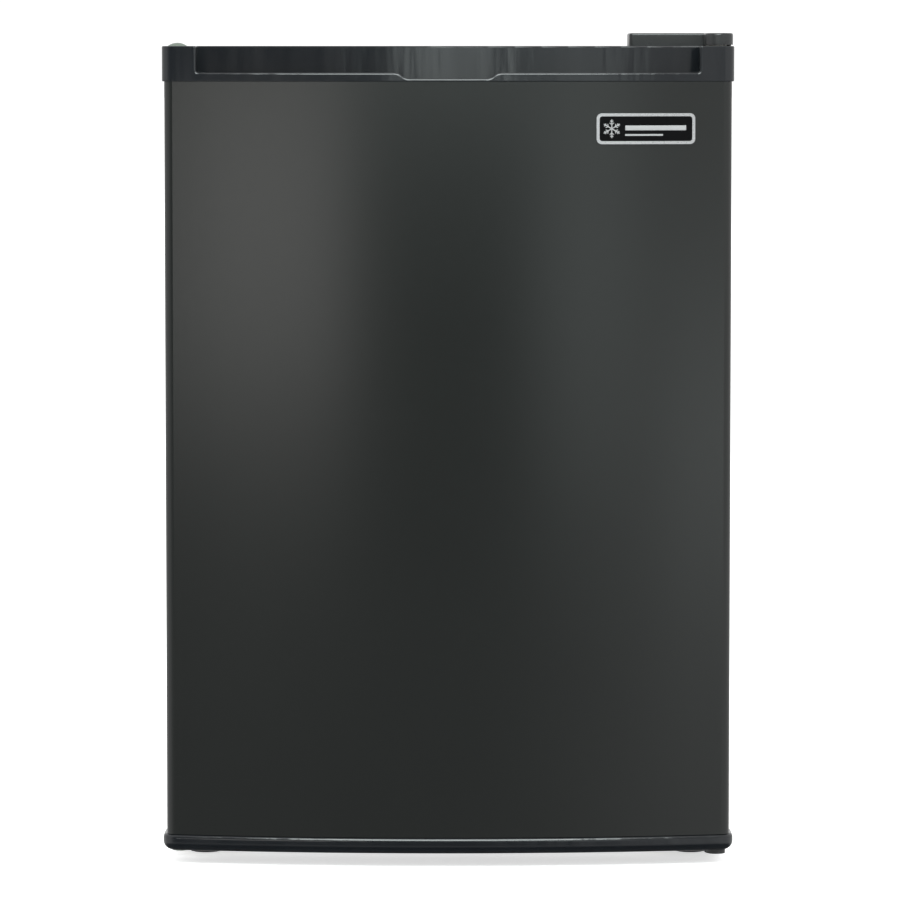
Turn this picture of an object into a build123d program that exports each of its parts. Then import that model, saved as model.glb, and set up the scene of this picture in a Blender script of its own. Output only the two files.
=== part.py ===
from build123d import *

import os
from math import acos, degrees, sqrt

# Compact refrigerator with a bowed door and a small freezer compartment.
# Millimetres, +Z up. The door faces -Y and is hinged at +X. The origin is on the
# floor, under the middle of the whole appliance.

# ---------------------------------------------------------------- driving dimensions
WIDTH = 445.0  # over the door's bottom cap, the widest piece
DEPTH = 475.0  # crown of the bottom cap to the cabinet's rear edge
FRONT = -DEPTH / 2
BACK = DEPTH / 2

FOOT_HEIGHT = 10.0
CABINET_HALF = 219.0
CABINET_BOTTOM = FOOT_HEIGHT
CABINET_TOP = 635.0
CABINET_FRONT = -172.0
SHEET = 0.8  # steel sheet

# door
PANEL_HALF = 219.5
PANEL_CROWN = FRONT + 1.5
BOW = 20.0  # rise of the door's front over its width
CORNER = 8.0  # vertical corners of the door skin
DOOR_BOTTOM = 11.0
DOOR_TOP = 637.0
SKIN_BACK = -184.5
DOOR_BACK = -183.0
BOTTOM_CAP_HEIGHT = 13.0
TOP_CAP_HEIGHT = 27.3
TOP_CAP_HALF = 221.2
CAP_PROUD = 0.5  # top cap in front of the door skin
SPIGOT = 12.0  # how far a cap reaches into the skin
SKIN_BOTTOM = DOOR_BOTTOM + BOTTOM_CAP_HEIGHT
SKIN_TOP = DOOR_TOP - TOP_CAP_HEIGHT

# grip in the top cap
GRIP_HALF = 194.2
GRIP_DEPTH = 20.0
GRIP_LEDGE = DOOR_TOP - 20.5
GRIP_FLOOR = DOOR_TOP - 37.0
LIP = 4.0
DIP_HALF = 41.0
DIP_FLOOR = SKIN_TOP + 2.4
DIP_BEND = 9.0  # radius of the two bends from the ledge down into the dip

# hinge axis
PIN_X = 209.5
PIN_Y = -200.0
PIN_RADIUS = 3.0
PIN_CLEARANCE = 0.08
BUSH_RADIUS = 5.5
BOSS_RADIUS = 8.0

# cold room
ROOM_HALF = 177.0
ROOM_FLOOR = 53.0
ROOM_CEILING = 593.0
ROOM_BACK = 186.0
STEP_FRONT = 50.0  # step over the compressor bay
STEP_TOP = 235.0
ROOM_ROUND = 12.0
LINER = 1.5
FLANGE_EDGE = 190.0  # inner edge of the steel front flange
FLANGE_TOP = 606.0
FLANGE_LOW = 41.0

# compressor bay
BAY_FRONT = 84.0
BAY_TOP = 200.0
BACK_PLANE = BACK - 6.5

FOLD_EDGE = 205.0  # inner edge of the shell's rear fold
BASE_TOP = 11.5  # top of the base plate
GLAND = (125.0, 21.0)
PORT_RADIUS = 7.0

# shelves and feet
SHELF_LEVELS = (250.0, 300.0, 350.0, 400.0)
SHELVES = (250.0, 350.0)
GLASS = 4.0
FOOT_PLACES = {"left": (-192.0, -142.0), "right": (192.0, -142.0)}
SOCKET_RADIUS = 9.0
SOCKET_TOP = 38.0
STUD_RADIUS = 4.0

# freezer compartment
ICE_LEFT, ICE_RIGHT = -170.0, 48.0
ICE_BOTTOM, ICE_TOP = 478.0, 582.0
ICE_FRONT, ICE_BACK = -12.0, 176.0
ICE_SHEET = 1.5
FLAP_PIN_Y, FLAP_PIN_Z = -28.5, 578.0
FLAP_PIN_RADIUS = 2.0
EVAPORATOR_PORT = (-100.0, 540.0)

# cooling circuit
COMPRESSOR_X, COMPRESSOR_Y = -70.0, 158.0
COMPRESSOR_RADIUS = 60.0
TUBE_RADIUS = 2.4
TUBE_PLANE = CABINET_HALF - SHEET - TUBE_RADIUS
LOOP_Y = [-150.0 + 50.0 * i for i in range(8)]  # upright runs of a serpentine
LINK_Y, LINK_Z = 60.0, 20.0
LINE_Y = 215.0  # suction line and capillary behind the cold room
DRIER_X = -188.0

BOW_RADIUS = (PANEL_HALF**2 + BOW**2) / (2 * BOW)
BOW_CENTRE = PANEL_CROWN + BOW_RADIUS


# ---------------------------------------------------------------- shape helpers
def block(x0, x1, y0, y1, z0, z1):
    """Box between two corners."""
    centre = Pos((x0 + x1) / 2, (y0 + y1) / 2, (z0 + z1) / 2)
    return centre * Box(x1 - x0, y1 - y0, z1 - z0)


def upright(x, y, z0, z1, radius):
    """Cylinder along Z."""
    return Pos(x, y, (z0 + z1) / 2) * Cylinder(radius, z1 - z0)


def along_y(outline, y0, y1):
    """Extrudes an outline drawn in X and Z from y0 to y1."""
    plane = Plane(origin=(0, y0, 0), x_dir=(1, 0, 0), z_dir=(0, -1, 0))
    return extrude(plane * outline, amount=y1 - y0, dir=(0, 1, 0))


def along_x(outline, x0, x1):
    """Extrudes an outline drawn in Y and Z from x0 to x1."""
    plane = Plane(origin=(x0, 0, 0), x_dir=(0, 1, 0), z_dir=(1, 0, 0))
    return extrude(plane * outline, amount=x1 - x0, dir=(1, 0, 0))


def prism(outline, z0, z1):
    """Extrudes an outline drawn in X and Y from z0 to z1."""
    return extrude(Pos(0, 0, z0) * outline, amount=z1 - z0, dir=(0, 0, 1))


def disc_y(x, z, y0, y1, radius):
    """Cylinder along Y."""
    return Pos(x, (y0 + y1) / 2, z) * Rot(90, 0, 0) * Cylinder(radius, y1 - y0)


def disc_x(y, z, x0, x1, radius):
    """Cylinder along X."""
    return Pos((x0 + x1) / 2, y, z) * Rot(0, 90, 0) * Cylinder(radius, x1 - x0)


def panel(x0, x1, z0, z1, radius):
    """Rounded rectangle in X and Z."""
    centre = Pos((x0 + x1) / 2, (z0 + z1) / 2)
    return centre * RectangleRounded(x1 - x0, z1 - z0, radius)


def tube(points, bends, radius):
    """Round tube along straight runs joined by arcs."""
    path = FilletPolyline(*points, radius=bends)
    start = Plane(origin=path @ 0, z_dir=path % 0)
    return sweep(start * Circle(radius), path=path)


def polygon(*points):
    return make_face(Polyline(*points, close=True))


def mirrored(shape):
    return mirror(shape, about=Plane.YZ)


# ---------------------------------------------------------------- door
def door_plan(half, proud=0.0, radius=CORNER, back=SKIN_BACK):
    """Door outline from above: bowed front, rounded front corners and a flat back."""
    bow_radius = BOW_RADIUS + proud
    side = BOW_CENTRE - sqrt(bow_radius**2 - half**2)
    front = ThreePointArc((-half, side), (0, BOW_CENTRE - bow_radius), (half, side))
    rest = Polyline((half, side), (half, back), (-half, back), (-half, side))
    plan = make_face([front, rest])
    return fillet(plan.vertices().sort_by(Axis.Y)[:2], radius)


def outer_edges(shape, z):
    """Edges at height z, apart from those along the flat back."""
    level = shape.edges().filter_by_position(Axis.Z, z - 0.01, z + 0.01)
    return [e for e in level if e.center().Y < SKIN_BACK - 0.5]


def make_door_skin():
    """Bowed steel skin that wraps both sides and returns behind them."""
    fold = 11.0
    inside = door_plan(
        PANEL_HALF - SHEET, -SHEET, CORNER - SHEET, SKIN_BACK - SHEET
    )
    skin = prism(door_plan(PANEL_HALF), SKIN_BOTTOM, SKIN_TOP)
    skin -= prism(inside, SKIN_BOTTOM, SKIN_TOP)
    opening = PANEL_HALF - fold
    return skin - block(
        -opening, opening, SKIN_BACK - 2, SKIN_BACK + 1, SKIN_BOTTOM, SKIN_TOP
    )


def cap_spigot(z0, z1):
    """Part of a cap that plugs into the skin."""
    gap = SHEET + 0.3
    return prism(
        door_plan(PANEL_HALF - gap, -gap, CORNER - gap, SKIN_BACK - gap), z0, z1
    )


def make_bottom_cap():
    """Rounded bumper along the door's lower edge, with the lower hinge sockets."""
    top = DOOR_BOTTOM + BOTTOM_CAP_HEIGHT
    plan = door_plan(WIDTH / 2, PANEL_CROWN - FRONT, 13.0)
    bumper = prism(plan, DOOR_BOTTOM, top)
    bumper = fillet(outer_edges(bumper, DOOR_BOTTOM), 7.0)
    bumper = fillet(outer_edges(bumper, top), 3.2)
    wall = 4.0
    hollow = door_plan(
        PANEL_HALF - wall, -wall, CORNER - wall, SKIN_BACK - wall
    )
    cap = bumper + cap_spigot(top, top + SPIGOT) - prism(hollow, top, top + SPIGOT)
    for x in (-PIN_X, PIN_X):
        cap += upright(x, PIN_Y, top - 1, top + SPIGOT, BOSS_RADIUS)
        cap -= upright(x, PIN_Y, DOOR_BOTTOM - 1, top + SPIGOT - 2, BUSH_RADIUS)
    return cap


def dip_side():
    """The S-shaped line from the ledge down to the dip's floor, at the left."""
    turn = degrees(acos(1 - (GRIP_LEDGE - DIP_FLOOR) / (2 * DIP_BEND)))
    crest = JernArc((-DIP_HALF, GRIP_LEDGE), (1, 0), DIP_BEND, -turn)
    return crest + JernArc(crest @ 1, crest % 1, DIP_BEND, turn)


def grip_cutters():
    """The notch across the cap's face, dipped in the middle, and the slot behind its lip."""
    over = DOOR_TOP + 5
    side = dip_side()
    foot = side.edges()[-1] @ 1
    rim = Polyline(
        (-DIP_HALF, GRIP_LEDGE),
        (-GRIP_HALF, GRIP_LEDGE),
        (-GRIP_HALF, over),
        (GRIP_HALF, over),
        (GRIP_HALF, GRIP_LEDGE),
        (DIP_HALF, GRIP_LEDGE),
    )
    floor = Line((foot.X, foot.Y), (-foot.X, foot.Y))
    edges = side.edges() + mirror(side, Plane.YZ).edges() + rim.edges() + floor.edges()
    outline = make_face(edges)
    corners = [v for v in outline.vertices() if abs(v.X) > GRIP_HALF - 1 and v.Y < over - 1]
    outline = fillet(corners, 2.1)
    behind = prism(
        door_plan(GRIP_HALF + 20, CAP_PROUD - GRIP_DEPTH, 1.0), SKIN_TOP - 5, over + 5
    )
    notch = along_y(outline, FRONT - 5, SKIN_BACK - 2) - behind
    slot = prism(
        door_plan(GRIP_HALF - 2, CAP_PROUD - LIP, 2.0), GRIP_FLOOR, GRIP_LEDGE + 2
    )
    return notch, slot - prism(
        door_plan(GRIP_HALF + 20, CAP_PROUD - GRIP_DEPTH, 1.0),
        GRIP_FLOOR - 5,
        over,
    )


def front_edges(cap):
    """Edges of the grip's mouth, where it breaks through the cap's bowed face."""
    radius = BOW_RADIUS + CAP_PROUD
    chosen = []
    for edge in cap.edges():
        middle = edge.center()
        off_face = sqrt(middle.X**2 + (middle.Y - BOW_CENTRE) ** 2) - radius
        inside = SKIN_TOP + 1.5 < middle.Z < DOOR_TOP - 0.01
        if abs(off_face) < 0.3 and abs(middle.X) < GRIP_HALF + 3 and inside:
            chosen.append(edge)
    return chosen


def make_top_cap():
    """Moulded cap along the door's upper edge: full-width grip and hinge sockets."""
    wall = 2.5
    notch, slot = grip_cutters()
    cap = prism(door_plan(TOP_CAP_HALF, CAP_PROUD, CORNER + 1), SKIN_TOP, DOOR_TOP)
    cap = fillet(outer_edges(cap, SKIN_TOP), 0.7)
    cap -= notch
    cap = fillet(front_edges(cap), 1.6)
    cap = fillet(outer_edges(cap, DOOR_TOP), 1.0)
    cap += cap_spigot(SKIN_TOP - SPIGOT, SKIN_TOP)
    cap -= prism(
        door_plan(
            PANEL_HALF - 4, CAP_PROUD - GRIP_DEPTH - wall, 3.0, SKIN_BACK - wall
        ),
        SKIN_TOP - SPIGOT,
        DOOR_TOP - wall,
    )
    for x in (-PIN_X, PIN_X):
        cap += upright(x, PIN_Y, SKIN_TOP - SPIGOT, DOOR_TOP - 1, BOSS_RADIUS)
        cap -= upright(x, PIN_Y, SKIN_TOP - SPIGOT + 2, DOOR_TOP + 1, BUSH_RADIUS)
    return cap - slot


def make_bushes():
    """Nylon bushes that line the hinge sockets: one in each end of the door."""
    bore = PIN_RADIUS + PIN_CLEARANCE
    top = DOOR_BOTTOM + BOTTOM_CAP_HEIGHT
    lower = upright(PIN_X, PIN_Y, DOOR_BOTTOM, top + SPIGOT - 2, BUSH_RADIUS)
    upper = upright(PIN_X, PIN_Y, SKIN_TOP - SPIGOT + 2, DOOR_TOP, BUSH_RADIUS)
    lower -= upright(PIN_X, PIN_Y, DOOR_BOTTOM - 1, top + SPIGOT - 4, bore)
    upper -= upright(PIN_X, PIN_Y, SKIN_TOP - SPIGOT + 4, DOOR_TOP + 1, bore)
    return Compound([lower, upper])


def make_socket_plugs():
    """Button plugs in the unused hinge sockets at the door's left edge."""
    radius, rise = 7.6, 2.5
    ball = (radius**2 + rise**2) / (2 * rise)
    dome = Pos(-PIN_X, PIN_Y, DOOR_TOP + rise - ball) * Sphere(ball)
    dome &= upright(-PIN_X, PIN_Y, DOOR_TOP, DOOR_TOP + rise + 1, radius)
    upper = dome + upright(
        -PIN_X, PIN_Y, DOOR_TOP - 12, DOOR_TOP + 0.1, BUSH_RADIUS - 0.1
    )
    lower = upright(-PIN_X, PIN_Y, DOOR_BOTTOM - 1.6, DOOR_BOTTOM, 7.0)
    lower = fillet(lower.edges().sort_by(Axis.Z)[0], 1.0)
    lower += upright(
        -PIN_X, PIN_Y, DOOR_BOTTOM - 0.1, DOOR_BOTTOM + 12, BUSH_RADIUS - 0.1
    )
    return Compound([upper, lower])


DYKE = {"half": 168.0, "z0": 62.0, "z1": 584.0, "y": -152.0, "round": 18.0}
PAN = {"half": 146.0, "z0": 76.0, "z1": 562.0, "y": -176.0, "round": 8.0}


def dyke_solid(shrink):
    """The raised rim inside the door with its sunken pan, drawn in by shrink."""
    rim = along_y(
        panel(
            -DYKE["half"] + shrink,
            DYKE["half"] - shrink,
            DYKE["z0"] + shrink,
            DYKE["z1"] - shrink,
            DYKE["round"] - shrink,
        ),
        SKIN_BACK,
        DYKE["y"] - shrink,
    )
    rim -= along_y(
        panel(
            -PAN["half"] - shrink,
            PAN["half"] + shrink,
            PAN["z0"] - shrink,
            PAN["z1"] + shrink,
            PAN["round"] + shrink,
        ),
        PAN["y"] - shrink,
        DYKE["y"],
    )
    crest = rim.edges().filter_by_position(
        Axis.Y, DYKE["y"] - shrink - 0.01, DYKE["y"] - shrink + 0.01
    )
    return fillet(crest, 5.0 - shrink)


BINS = {
    # name: (left, right, rear-to-front reach, floor, rim)
    "bottle_rack": (-144.0, 144.0, -72.0, 86.0, 166.0),
    "can_bin": (4.0, 144.0, -96.0, 250.0, 300.0),
    "door_bin": (-144.0, 144.0, -98.0, 398.0, 436.0),
}
REST_HEIGHT = 8.0
REST_WIDTH = 8.0
REST_FRONT = -156.0


def make_door_liner():
    """Vacuum-formed inner skin: flat flange, raised rim, sunken pan and bin rests."""
    flange = along_y(panel(-217.5, 217.5, 13.0, 634.0, 6.0), SKIN_BACK, DOOR_BACK)
    liner = flange + dyke_solid(0) - dyke_solid(LINER)
    for left, right, _, floor, _ in BINS.values():
        for x0 in (left, right - REST_WIDTH):
            liner += block(
                x0,
                x0 + REST_WIDTH,
                PAN["y"] - 0.5,
                REST_FRONT,
                floor - REST_HEIGHT,
                floor,
            )
    return liner


def make_door_bin(left, right, reach, floor, rim):
    """Open-topped moulded bin with a rounded front and a rolled rim."""
    wall = 2.4
    depth = reach - (PAN["y"] + 1)
    middle = Pos((left + right) / 2, PAN["y"] + 1 + depth / 2)

    def tray(inset, z0, z1, radius):
        plan = middle * RectangleRounded(
            right - left - 2 * inset, depth - 2 * inset, radius
        )
        return prism(plan, z0, z1)

    body = tray(0, floor, rim, 14.0)
    body = fillet(body.edges().filter_by_position(Axis.Z, floor - 0.01, floor + 0.01), 4)
    body -= tray(wall, floor + wall, rim + 1, 14.0 - wall)
    lip = tray(0, rim - 5, rim, 14.0) - tray(wall + 1.4, rim - 6, rim + 1, 10.0)
    return body + lip


def make_gasket():
    """Magnetic door seal: flat base, narrower bellows and a wide sealing head."""
    outer, inner = (207.0, 24.0, 623.0), (190.0, 41.0, 606.0)

    def ring(shrink, y0, y1):
        whole = panel(
            -outer[0] + shrink, outer[0] - shrink, outer[1] + shrink, outer[2] - shrink, 6
        )
        gap = panel(
            -inner[0] - shrink, inner[0] + shrink, inner[1] - shrink, inner[2] + shrink, 4
        )
        return along_y(whole, y0, y1) - along_y(gap, y0, y1)

    face = CABINET_FRONT - 0.5
    return (
        ring(0.0, DOOR_BACK, DOOR_BACK + 2.2)
        + ring(4.5, DOOR_BACK + 2.2, face - 4.6)
        + ring(1.5, face - 4.6, face)
    )


def make_door_foam():
    """Rigid foam between the door's skin and its liner."""
    gap = SHEET + 0.3
    low, high = SKIN_BOTTOM + SPIGOT, SKIN_TOP - SPIGOT
    foam = prism(
        door_plan(PANEL_HALF - gap, -gap, CORNER - gap, SKIN_BACK - gap), low, high
    )
    core = dyke_solid(LINER) & block(-200, 200, SKIN_BACK, 0, low, high)
    return foam + block(-200, 200, SKIN_BACK - gap, SKIN_BACK, low, high) + core


BADGE = {"x": 152.4, "z": DOOR_TOP - 63.5, "width": 76.3, "height": 23.7}


def make_badge():
    """Blank name plate: a bright rounded frame around a black field."""
    x, z = BADGE["x"], BADGE["z"]
    half_w, half_h, border = BADGE["width"] / 2, BADGE["height"] / 2, 2.3
    skin = prism(
        door_plan(PANEL_HALF), z - half_h - 2, z + half_h + 2
    )
    reach = FRONT - 10
    plate = along_y(
        panel(x - half_w, x + half_w, z - half_h, z + half_h, 4.0), reach, PIN_Y
    )
    field = along_y(
        panel(
            x - half_w + border,
            x + half_w - border,
            z - half_h + border,
            z + half_h - border,
            2.2,
        ),
        reach,
        PIN_Y,
    )

    def layer(shape, thickness):
        hull = prism(
            door_plan(PANEL_HALF + thickness, thickness, CORNER + thickness),
            z - half_h - 1,
            z + half_h + 1,
        )
        return (shape & hull) - skin

    return {
        "badge_frame": layer(plate - field, 1.6),
        "badge_plate": layer(field, 1.1),
    }


# ---------------------------------------------------------------- hinges
ROOF_SCREWS = ((160.0, -150.0), (182.0, -150.0), (204.0, -142.0))
FLOOR_SCREWS = ((176.0, -157.0), (176.0, -128.0), (208.0, -157.0), (208.0, -128.0))
HINGE_SHEET = 3.0
ARM_LOW = DOOR_TOP + 1.0
ARM_TOP = ARM_LOW + HINGE_SHEET
PLATE_LOW = CABINET_BOTTOM - HINGE_SHEET


def screw_up(x, y, face, length, radius=4.2, shank=2.0):
    """Cross-head screw driven downwards into a face."""
    head = upright(x, y, face, face + 2.4, radius)
    head = fillet(head.edges().sort_by(Axis.Z)[-1], 1.2)
    head -= block(x - 2.7, x + 2.7, y - 0.5, y + 0.5, face + 1.4, face + 3)
    head -= block(x - 0.5, x + 0.5, y - 2.7, y + 2.7, face + 1.4, face + 3)
    return head + upright(x, y, face - length, face, shank)


def screw_down(x, y, face, length):
    """Cross-head screw driven upwards into a face from below."""
    turned = Rot(180, 0, 0) * screw_up(0, 0, 0, length)
    return Pos(x, y, face) * turned


def make_top_bracket():
    """Cranked steel bracket on the cabinet's roof that holds the upper pin."""
    foot_top = CABINET_TOP + HINGE_SHEET
    bracket = block(150, 214, -165, -128, CABINET_TOP, foot_top)
    bracket += block(201, 218, PIN_Y, -156, ARM_LOW, ARM_TOP)
    bracket += upright(PIN_X, PIN_Y, ARM_LOW, ARM_TOP, 8.5)
    bracket -= upright(PIN_X, PIN_Y, ARM_LOW - 1, ARM_TOP + 1, PIN_RADIUS)
    for x, y in ROOF_SCREWS:
        bracket -= upright(x, y, CABINET_TOP - 1, foot_top + 1, 2.2)
    return bracket


def make_bottom_plate():
    """Steel plate under the cabinet that carries the lower pin and the right foot."""
    plate = block(168, 216, CABINET_FRONT + 2, -118, PLATE_LOW, CABINET_BOTTOM)
    plate += block(201, 216, PIN_Y, CABINET_FRONT + 4, PLATE_LOW, CABINET_BOTTOM)
    plate += upright(PIN_X, PIN_Y, PLATE_LOW, CABINET_BOTTOM, 7.5)
    plate -= upright(PIN_X, PIN_Y, PLATE_LOW - 1, CABINET_BOTTOM + 1, PIN_RADIUS)
    stud_hole = STUD_RADIUS + 1.0
    plate -= upright(*FOOT_PLACES["right"], PLATE_LOW - 1, CABINET_BOTTOM + 1, stud_hole)
    for x, y in FLOOR_SCREWS:
        plate -= upright(x, y, PLATE_LOW - 1, CABINET_BOTTOM + 1, 2.2)
    return plate


def make_hinge_hardware():
    """Upper and lower pins, their washers and the screws of both brackets."""
    upper = upright(PIN_X, PIN_Y, SKIN_TOP - 4, ARM_TOP, PIN_RADIUS)
    upper = chamfer(upper.edges().sort_by(Axis.Z)[0], 0.6)
    lower = upright(PIN_X, PIN_Y, PLATE_LOW, DOOR_BOTTOM + 17, PIN_RADIUS)
    lower = chamfer(lower.edges().sort_by(Axis.Z)[-1], 0.6)
    washers = []
    for z0, z1 in ((DOOR_TOP + 0.1, ARM_LOW), (CABINET_BOTTOM, DOOR_BOTTOM - 0.1)):
        ring = upright(PIN_X, PIN_Y, z0, z1, 6.0)
        washers.append(ring - upright(PIN_X, PIN_Y, z0 - 1, z1 + 1, PIN_RADIUS))
    foot_top = CABINET_TOP + HINGE_SHEET
    screws = [screw_up(x, y, foot_top, 13.0) for x, y in ROOF_SCREWS]
    screws += [screw_down(x, y, PLATE_LOW, 12.0) for x, y in FLOOR_SCREWS]
    return {
        "hinge_pins": Compound([upper, lower]),
        "hinge_washers": Compound(washers),
        "hinge_screws": Compound(screws),
    }


COVER_TOP = 647.0
COVER_LEFT, COVER_RIGHT = 141.4, 220.6
COVER_FRONT, COVER_REAR = -168.0, -118.0
NOSE_RADIUS = 10.9


def cover_plan(shrink):
    """Outline of the hinge cover from above: a block with a round nose over the pin."""
    width = COVER_RIGHT - COVER_LEFT - 2 * shrink
    depth = COVER_REAR - COVER_FRONT - 2 * shrink
    middle = Pos((COVER_LEFT + COVER_RIGHT) / 2, (COVER_REAR + COVER_FRONT) / 2)
    body = middle * RectangleRounded(width, depth, 3.0 - shrink / 2)
    right = COVER_RIGHT - shrink
    left = COVER_RIGHT - 2 * NOSE_RADIUS + shrink
    root = COVER_FRONT + 8
    neck = polygon((left, PIN_Y), (right, PIN_Y), (right, root), (left, root))
    tip = Pos(COVER_RIGHT - NOSE_RADIUS, PIN_Y) * Circle(NOSE_RADIUS - shrink)
    return body + neck + tip


def make_hinge_cover():
    """Plastic lid over the top hinge, seated on the roof and clear of the door."""
    wall = 1.8
    shell = prism(cover_plan(0), CABINET_TOP, COVER_TOP)
    rim = shell.edges().filter_by_position(Axis.Z, COVER_TOP - 0.01, COVER_TOP + 0.01)
    shell = fillet(rim, 1.6)
    shell -= prism(cover_plan(wall), CABINET_TOP - 1, COVER_TOP - wall)
    over_door = block(
        COVER_LEFT - 5,
        COVER_RIGHT + 5,
        PIN_Y - 20,
        CABINET_FRONT,
        CABINET_TOP - 1,
        DOOR_TOP + 0.9,
    )
    return shell - over_door


# ---------------------------------------------------------------- cabinet
INSIDE_HALF = CABINET_HALF - SHEET


def arch(half, top, radius):
    """Upright outline with two rounded upper corners, standing on the cabinet's base."""
    outline = polygon(
        (-half, CABINET_BOTTOM), (half, CABINET_BOTTOM), (half, top), (-half, top)
    )
    corners = [v for v in outline.vertices() if v.Y > CABINET_BOTTOM + 1]
    return fillet(corners, radius)


def make_outer_shell():
    """Painted wrapper: both sides and the roof, folded in at front and back."""
    outside = arch(CABINET_HALF, CABINET_TOP, 5.0)
    inside = arch(INSIDE_HALF, CABINET_TOP - SHEET, 5.0 - SHEET)
    shell = along_y(outside, CABINET_FRONT, BACK) - along_y(inside, CABINET_FRONT, BACK)
    front_fold = along_y(inside, CABINET_FRONT, CABINET_FRONT + SHEET)
    front_fold -= block(
        -FLANGE_EDGE,
        FLANGE_EDGE,
        CABINET_FRONT - 1,
        CABINET_FRONT + 2,
        CABINET_BOTTOM - 1,
        FLANGE_TOP,
    )
    rear_fold = along_y(inside, BACK_PLANE - SHEET, BACK_PLANE)
    rear_fold -= block(-FOLD_EDGE, FOLD_EDGE, 200, BACK, CABINET_BOTTOM - 1, 621)
    rear_fold -= block(-INSIDE_HALF, INSIDE_HALF, 200, BACK, 0, BASE_TOP)
    shell = shell + front_fold + rear_fold
    for x, y in ROOF_SCREWS:
        for side in (-1, 1):
            shell -= upright(side * x, y, CABINET_TOP - 2, CABINET_TOP + 1, 2.2)
    for x, z in BACK_SCREWS:
        shell -= disc_y(x, z, BACK_PLANE - 2, BACK_PLANE + 1, 2.1)
    return shell


def make_roof_plugs():
    """Caps over the unused hinge screw holes at the roof's left corner."""
    plugs = []
    for x, y in ROOF_SCREWS:
        cap = upright(-x, y, CABINET_TOP, CABINET_TOP + 1.4, 4.5)
        cap = fillet(cap.edges().sort_by(Axis.Z)[-1], 1.0)
        plugs.append(cap + upright(-x, y, CABINET_TOP - 6, CABINET_TOP, 2.1))
    return Compound(plugs)


def make_bottom_panel():
    """Steel floor under the insulation, turned up at the front as the lower flange."""
    low = CABINET_BOTTOM
    pan = block(-INSIDE_HALF, INSIDE_HALF, CABINET_FRONT, BAY_FRONT, low, low + SHEET)
    for side in (-1, 1):
        x0, x1 = sorted((side * FLANGE_EDGE, side * CABINET_HALF))
        pan -= block(x0, x1, CABINET_FRONT - 1, CABINET_FRONT + SHEET, 0, low + 2)
    upturn = CABINET_FRONT + SHEET
    pan += block(-FLANGE_EDGE, FLANGE_EDGE, CABINET_FRONT, upturn, low, FLANGE_LOW)
    for x, y in FOOT_PLACES.values():
        pan -= upright(x, y, low - 1, low + 2, SOCKET_RADIUS)
    for x, y in FLOOR_SCREWS:
        for side in (-1, 1):
            pan -= upright(side * x, y, low - 1, low + 2, 2.2)
    return pan


def make_bay_panel():
    """Bent sheet that walls the compressor bay off from the insulation."""
    top = BAY_TOP + SHEET
    sheet = block(
        -INSIDE_HALF, INSIDE_HALF, BAY_FRONT, BAY_FRONT + SHEET, CABINET_BOTTOM, top
    )
    sheet += block(
        -INSIDE_HALF, INSIDE_HALF, BAY_FRONT, BACK_PLANE - SHEET, BAY_TOP, top
    )
    flange = FOLD_EDGE - 0.5
    sheet += block(-flange, flange, BACK_PLANE - SHEET, BACK_PLANE, BAY_TOP - 11, top)
    sheet -= upright(EVAPORATOR_PORT[0], LINE_Y, BAY_TOP - 1, top + 1, PORT_RADIUS)
    for side in (-1, 1):
        x0, x1 = sorted((side * (TUBE_PLANE - 3), side * INSIDE_HALF))
        last = LOOP_Y[-1]
        sheet -= block(x0, x1, last - 3, last + 3, BAY_TOP - 1, top + 1)
    for x, z in BACK_SCREWS:
        sheet -= disc_y(x, z, BACK_PLANE - 2, BACK_PLANE + 1, 2.1)
    return sheet


BACK_SCREWS = [
    (side * 210.0, z) for side in (-1, 1) for z in (225.0, 355.0, 490.0, 618.0)
] + [(x, z) for x in (-100.0, 100.0) for z in (195.0, 627.0)]


def make_back_panel():
    """Rear sheet with four vertical pressed beads."""
    face = BACK_PLANE + SHEET
    sheet = block(-217.5, 217.5, BACK_PLANE, face, BAY_TOP - 11, 633.5)
    sheet = fillet(sheet.edges().filter_by(Axis.Y).group_by(Axis.Z)[-1], 5.0)
    for x in (-150, -50, 50, 150):
        bead = block(x - 7, x + 7, face, face + 2.2, 250, 590)
        sheet += chamfer(bead.faces().sort_by(Axis.Y)[-1].edges(), 1.8)
    for x, z in BACK_SCREWS:
        sheet -= disc_y(x, z, BACK_PLANE - 1, face + 1, 2.1)
    return sheet


def make_back_screws():
    """Cross-head screws around the rear sheet."""
    face = BACK_PLANE + SHEET
    driven = [
        Pos(x, face, z) * Rot(-90, 0, 0) * screw_up(0, 0, 0, 8.0, 4.0, 1.9)
        for x, z in BACK_SCREWS
    ]
    return Compound(driven)


def make_base_plate():
    """Steel tray under the compressor, folded up at the back, with cooling slots."""
    rear = BACK - 2
    fold = 1.5
    plate = block(
        -INSIDE_HALF, INSIDE_HALF, BAY_FRONT + SHEET, rear, CABINET_BOTTOM, BASE_TOP
    )
    plate += block(-INSIDE_HALF, INSIDE_HALF, rear - fold, rear, CABINET_BOTTOM, 32.0)
    for i in range(6):
        x = 60 + i * 22
        plate -= block(x, x + 7, 120, 190, CABINET_BOTTOM - 1, BASE_TOP + 1)
    return plate - disc_y(*GLAND, rear - 3, rear + 1, 5.0)


def make_cord_gland():
    """Rubber grommet in the base plate's fold, where a supply lead goes through."""
    rear = BACK - 2
    gland = disc_y(*GLAND, rear, rear + 2.0, 7.5)
    gland = fillet(gland.edges().sort_by(Axis.Y)[-1], 1.0)
    gland += disc_y(*GLAND, rear - 1.5, rear, 5.0)
    gland += disc_y(*GLAND, rear - 4.5, rear - 1.5, 7.5)
    return gland - disc_y(*GLAND, rear - 6, rear + 4, 3.4)


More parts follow.
